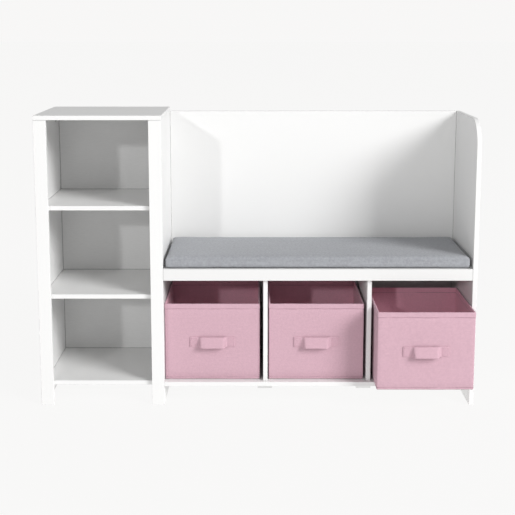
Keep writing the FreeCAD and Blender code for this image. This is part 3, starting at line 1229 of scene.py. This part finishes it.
@dataclass
class FabricBin:
    """A folding cloth bin: boarded walls, a stitched hem, a seam above the foot and a loose base."""

    number: int
    palette: Palette
    wall: float = 4.0 * MM
    floor: float = 1.0 * MM
    corner: float = 3.0 * MM
    rim: float = 1.3 * MM
    hem: float = HEM
    hem_fold: float = 0.6 * MM
    hem_wave: float = 1.2 * MM
    foot: float = FOOT
    foot_radius: float = 3.6 * MM
    groove: float = 0.9 * MM
    groove_depth: float = 0.5 * MM
    ripple: float = 0.9 * MM
    panel_step: float = 12.0 * MM

    def build(self) -> None:
        """Models the bin's cloth, seams, strap and base."""
        low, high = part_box(f"bin_{self.number}_fabric")
        shell = self.shell(low, high)
        self.own(shell, self.palette.bin_cloth)
        self.line(shell, low, high)
        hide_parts(f"bin_{self.number}_fabric")
        stitches = join(self.seams(low, high), f"bin_{self.number}_hem_stitches")
        smooth(stitches)
        self.own(stitches, self.palette.pink_thread)
        self.base_insert()
        StrapHandle(self.number, self.palette).build()
        dress(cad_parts[f"bin_{self.number}_wall_boards"], self.palette.card)
        LOG.info("bin %d: shell of %d faces", self.number, len(shell.data.polygons))

    def own(self, piece: bpy.types.Object, material: bpy.types.Material) -> None:
        """Makes a piece part of the bin.

        Args:
            piece: the piece.
            material: its finish.
        """
        dress(piece, material)
        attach(piece, f"bin_{self.number}")

    def line(self, shell: bpy.types.Object, low: Vector, high: Vector) -> None:
        """Gives the inner faces the lining's finish: the bin cloth made lighter and redder, painted light
        for the light that bounces round inside the bin.

        Args:
            shell: the bin's cloth.
            low: the bin's lowest corner.
            high: the bin's highest corner.
        """
        shell.data.materials.append(self.palette.bin_lining_bounce_lit)
        depth = 0.75 * self.wall
        for face in shell.data.polygons:
            x, y, z = face.center
            within = low.x + depth < x < high.x - depth and low.y + depth < y < high.y - depth
            face.material_index = 1 if within and z > low.z + 0.5 * self.floor else 0

    def shell(self, low: Vector, high: Vector) -> bpy.types.Object:
        """Hollows a block, rounds it, draws in its seams and lets the cloth ripple.

        Args:
            low: the bin's lowest corner.
            high: the bin's highest corner.

        Returns:
            The cloth shell.
        """
        shell = block(f"bin_{self.number}_cloth", low, high)
        top, bottom = high.z, low.z
        with EditSession(shell) as edit:
            edit.pick(lambda face: face.normal.z > 0.9)
            bpy.ops.mesh.inset(thickness=self.wall)
            bpy.ops.mesh.extrude_region_move(
                TRANSFORM_OT_translate={"value": (0.0, 0.0, self.floor - (top - bottom))}
            )
            edit.pick(lambda edge: self.is_outer_upright(edge, low, high), Part.EDGE)
            bpy.ops.mesh.bevel(offset=self.corner, segments=4)
            edit.pick(lambda edge: self.is_turned(edge, top))
            bpy.ops.mesh.bevel(offset=self.rim, segments=3)
            edit.pick(lambda edge: self.is_turned(edge, bottom))
            bpy.ops.mesh.bevel(offset=self.foot_radius, segments=3)
            for seam in (top - self.hem, bottom + self.foot):
                edit.slice(Axis.Z, (seam - self.groove, seam, seam + self.groove))
            edit.slice(Axis.X, spaced(low.x, high.x, self.panel_step))
            edit.slice(Axis.Y, spaced(low.y, high.y, self.panel_step))
            edit.slice(Axis.Z, spaced(bottom + 2 * self.foot, top - self.hem - 4 * MM, self.panel_step))
            self.draw_in_seams(edit, low, high)
        self.let_ripple(shell)
        smooth(shell, 40.0)
        return shell

    @staticmethod
    def is_outer_upright(edge: object, low: Vector, high: Vector) -> bool:
        """Tells whether an edge is one of the block's four outer upright corners.

        Args:
            edge: the bmesh edge.
            low: the block's lowest corner.
            high: the block's highest corner.

        Returns:
            Whether it is.
        """
        first, second = (vertex.co for vertex in edge.verts)
        upright = abs(first.x - second.x) < TOUCH and abs(first.y - second.y) < TOUCH
        at_x = min(abs(first.x - low.x), abs(first.x - high.x)) < TOUCH
        at_y = min(abs(first.y - low.y), abs(first.y - high.y)) < TOUCH
        return upright and at_x and at_y

    @staticmethod
    def is_turned(edge: object, level: float | None = None) -> bool:
        """Tells whether an edge lies between a level face and a wall.

        Args:
            edge: the bmesh edge.
            level: the height that it has to lie at, if any.

        Returns:
            Whether it does.
        """
        slopes = [abs(face.normal.z) for face in edge.link_faces]
        at_level = level is None or all(abs(vertex.co.z - level) < TOUCH for vertex in edge.verts)
        return at_level and max(slopes) > LEVEL_SLOPE and min(slopes) < UPRIGHT_SLOPE

    def draw_in_seams(self, edit: EditSession, low: Vector, high: Vector) -> None:
        """Pulls the cloth in along the hem's and the foot's stitch lines.

        Args:
            edit: the open edit session.
            low: the bin's lowest corner.
            high: the bin's highest corner.
        """
        middle = (low + high) / 2
        half = (high - low) / 2
        hem_line, foot_line = high.z - self.hem, low.z + self.foot

        def is_outside(vertex: object) -> bool:
            """Tells whether a vertex lies on the wall's outer half."""
            out_x, out_y = (half[axis] - abs(vertex.co[axis] - middle[axis]) for axis in (0, 1))
            return min(out_x, out_y) < self.wall / 2

        def on_outer_seam(vertex: object) -> bool:
            """Tells whether a vertex lies on a stitch line of the outer cloth."""
            away = min(abs(vertex.co.z - hem_line), abs(vertex.co.z - foot_line))
            return away < TOUCH and is_outside(vertex)

        def on_hem_band(vertex: object) -> bool:
            """Tells whether a vertex lies on the folded band above the hem's stitch line."""
            return vertex.co.z > hem_line + 0.5 * self.groove and is_outside(vertex)

        edit.pick(on_outer_seam, Part.VERT)
        scale = (1 - self.groove_depth / half.x, 1 - self.groove_depth / half.y, 1.0)
        bpy.ops.transform.resize(value=scale, center_override=middle)
        edit.pick(on_hem_band)
        scale = (1 + self.hem_fold / half.x, 1 + self.hem_fold / half.y, 1.0)
        bpy.ops.transform.resize(value=scale, center_override=middle)

    def let_ripple(self, shell: bpy.types.Object) -> None:
        """Gives the cloth the slow unevenness of fabric pulled over card.

        Args:
            shell: the bin's cloth.
        """
        slow = self.clouds("ripple", 75.0 * MM)
        finish_with(
            shell, "DISPLACE", texture=slow, texture_coords="LOCAL", strength=self.ripple, mid_level=0.35
        )
        hem_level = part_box(f"bin_{self.number}_fabric")[1].z - self.hem
        hem_line = shell.vertex_groups.new(name="hem_line")
        near = [v.index for v in shell.data.vertices if abs(v.co.z - hem_level) < 1.5 * self.groove]
        hem_line.add(near, 1.0, "REPLACE")
        wavy = self.clouds("hem_wave", 28.0 * MM)
        finish_with(
            shell,
            "DISPLACE",
            texture=wavy,
            texture_coords="LOCAL",
            direction="Z",
            strength=self.hem_wave,
            mid_level=0.5,
            vertex_group=hem_line.name,
        )

    def clouds(self, name: str, size: float) -> bpy.types.Texture:
        """Makes a soft noise texture for a displacement.

        Args:
            name: what it is for.
            size: how wide its clouds are.

        Returns:
            The texture.
        """
        texture = bpy.data.textures.new(f"bin_{self.number}_{name}", "CLOUDS")
        texture.noise_scale = size
        texture.noise_depth = 1
        return texture

    def seams(self, low: Vector, high: Vector) -> list[bpy.types.Object]:
        """Sews the hem inside and out and the seam above the foot.

        Args:
            low: the bin's lowest corner.
            high: the bin's highest corner.

        Returns:
            The rows of stitches.
        """
        rows = []
        skin = self.groove_depth * 0.4
        inside = self.wall + 0.1 * MM
        hem_line, foot_line = high.z - self.hem, low.z + self.foot
        for level, depth in ((hem_line, skin), (foot_line, skin), (hem_line, inside)):
            west, east = low.x + depth, high.x - depth
            front, rear = low.y + depth, high.y - depth
            stop = self.corner * 1.2
            ends = (
                ((west + stop, front), (east - stop, front)),
                ((west + stop, rear), (east - stop, rear)),
                ((west, front + stop), (west, rear - stop)),
                ((east, front + stop), (east, rear - stop)),
            )
            for start, end in ends:
                rows.append(Seam(Vector((*start, level)), Vector((*end, level))).sew("hem_stitch_row"))
        return rows

    def base_insert(self) -> None:
        """Models the cloth-covered board that lies loose on the bin's floor."""
        name = f"bin_{self.number}_base_insert"
        low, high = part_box(name)
        insert = block(f"bin_{self.number}_base_board", low, high)
        with EditSession(insert, Part.EDGE) as edit:
            edit.pick(lambda edge: abs(edge.verts[0].co.z - edge.verts[1].co.z) > 1 * MM)
            bpy.ops.mesh.bevel(offset=6.0 * MM, segments=4)
            edit.pick(self.is_turned)
            bpy.ops.mesh.bevel(offset=1.4 * MM, segments=3)
        smooth(insert, 50.0)
        dress(insert, self.palette.bin_cloth)
        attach(insert, f"bin_{self.number}_base")
        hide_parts(name)


# Studio -------------------------------------------------------------------------------------------


@dataclass
class Studio:
    """The pale floor, the two lamps, the faint sky and the camera."""

    camera_side: float = -0.0062
    camera_height: float = 1.037
    camera_distance: float = 2.646
    lens: float = 70.2
    tilt: float = math.radians(8.65)
    shift: tuple[float, float] = (0.0044, -0.155)
    floor_half: float = 60.0
    key_towards: tuple[float, float, float] = (0.687, -0.566, 0.457)
    key_distance: float = 12.0
    key_size: tuple[float, float] = (4.0, 4.6)
    key_power: float = 1240.0
    spill_towards: tuple[float, float, float] = (-0.439, -0.848, 0.298)
    spill_power: float = 0.52
    sky_light: float = 0.40

    def build(self) -> None:
        """Sets everything up round the object."""
        self.floor()
        self.sky()
        self.softbox()
        self.spill()
        self.camera()
        bpy.context.scene.view_settings.view_transform = "Standard"

    def floor(self) -> None:
        """Lays the floor at the height that the object stands on."""
        start_alone()
        level = CAD_BOUNDS[0].z - 0.2 * MM
        bpy.ops.mesh.primitive_plane_add(size=2 * self.floor_half, location=(0.0, 0.0, level))
        floor = bpy.context.object
        floor.name = "studio_floor"
        settle(floor)
        dress(floor, StudioFloor().material())

    def sky(self) -> None:
        """Makes the world: pale to look at, and dim as a light."""
        world = bpy.data.worlds.new("studio_sky")
        world.use_nodes = True
        bpy.context.scene.world = world
        nodes, links = world.node_tree.nodes, world.node_tree.links
        seen = nodes["Background"]
        seen.inputs["Color"].default_value = (0.936, 0.930, 0.924, 1.0)
        dim = nodes.new("ShaderNodeBackground")
        dim.inputs["Color"].default_value = (1.0, 1.0, 1.0, 1.0)
        dim.inputs["Strength"].default_value = self.sky_light
        path = nodes.new("ShaderNodeLightPath")
        mix = nodes.new("ShaderNodeMixShader")
        links.new(path.outputs["Is Camera Ray"], mix.inputs[0])
        links.new(dim.outputs[0], mix.inputs[1])
        links.new(seen.outputs[0], mix.inputs[2])
        links.new(mix.outputs[0], nodes["World Output"].inputs[0])

    def softbox(self) -> None:
        """Hangs the large soft lamp high on the right."""
        start_alone()
        towards = Vector(self.key_towards).normalized()
        place = Vector((0.0, 0.0, 0.45)) + towards * self.key_distance
        bpy.ops.object.light_add(type="AREA", location=place)
        lamp = bpy.context.object
        lamp.name = "softbox_right"
        lamp.rotation_mode = "QUATERNION"
        lamp.rotation_quaternion = towards.to_track_quat("Z", "Y")
        lamp.data.shape = "RECTANGLE"
        lamp.data.size, lamp.data.size_y = self.key_size
        lamp.data.energy = self.key_power

    def spill(self) -> None:
        """Adds the weaker, crisper lamp on the left."""
        start_alone()
        towards = Vector(self.spill_towards)
        bpy.ops.object.light_add(type="SUN", location=towards * 3.0)
        lamp = bpy.context.object
        lamp.name = "spill_left"
        lamp.rotation_mode = "QUATERNION"
        lamp.rotation_quaternion = towards.to_track_quat("Z", "Y")
        lamp.data.energy = self.spill_power
        lamp.data.angle = math.radians(3.0)

    def camera(self) -> None:
        """Stands the camera in front of the middle of the front plane, looking back and down."""
        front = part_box("right_side")[0].y
        place = (self.camera_side, front - self.camera_distance, self.camera_height)
        bpy.ops.object.camera_add(location=place)
        camera = bpy.context.object
        camera.name = "front_camera"
        camera.rotation_euler = (math.pi / 2 - self.tilt, 0.0, 0.0)
        camera.data.lens = self.lens
        camera.data.sensor_width = 36.0
        camera.data.shift_x, camera.data.shift_y = self.shift
        camera.data.clip_start, camera.data.clip_end = 0.05, 200.0
        bpy.context.scene.camera = camera


def main() -> None:
    """Builds the studio and every part of the object in order."""
    logging.basicConfig(level=logging.INFO, format="%(message)s")
    Studio().build()
    palette = Palette()
    Carcass(palette).dress_nodes()
    SeatCushion(palette).build()
    for number in (1, 2, 3):
        FabricBin(number, palette).build()


if __name__ == "__main__":
    main()
